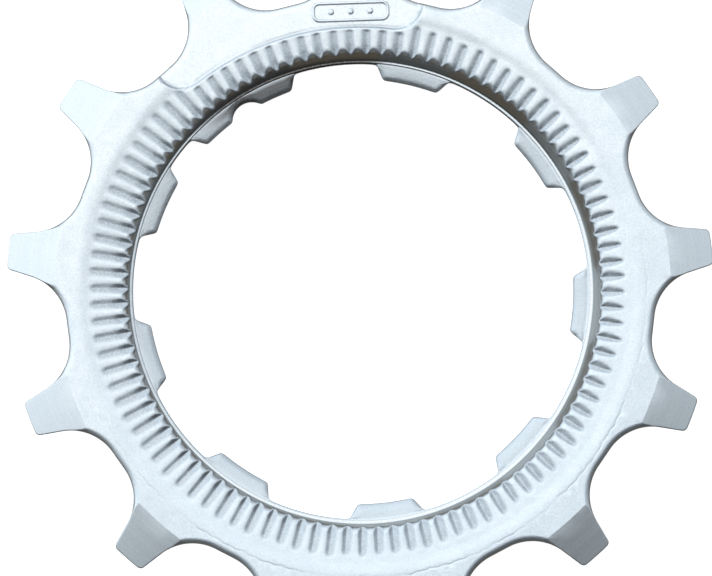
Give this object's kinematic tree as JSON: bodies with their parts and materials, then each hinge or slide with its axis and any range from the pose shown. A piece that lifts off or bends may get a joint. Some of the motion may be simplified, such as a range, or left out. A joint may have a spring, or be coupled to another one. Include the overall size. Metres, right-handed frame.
{
  "type": "cassette sprocket",
  "caption": "Toothed chain sprocket ring on a raised spacer collar, with a splined bore and a radially serrated lockring seat.",
  "frame": {"origin": "on the sprocket's axis, at the level of the collar's back face, which rests on the ground plane", "axes": "+Z along the axis, out of the serrated front face; +Y points 0.4 degrees clockwise from a tooth's centreline in the sunk panel; +X completes the right-handed frame"},
  "size_m": [0.0542, 0.0539, 0.0043],
  "materials": {
    "satin_steel": "satin nickel-grey plated steel, with fine turned rings on the tooth bevels"
  },
  "bodies": {
    "root": {"sprocket": "satin_steel"}
  },
  "joints": []
}
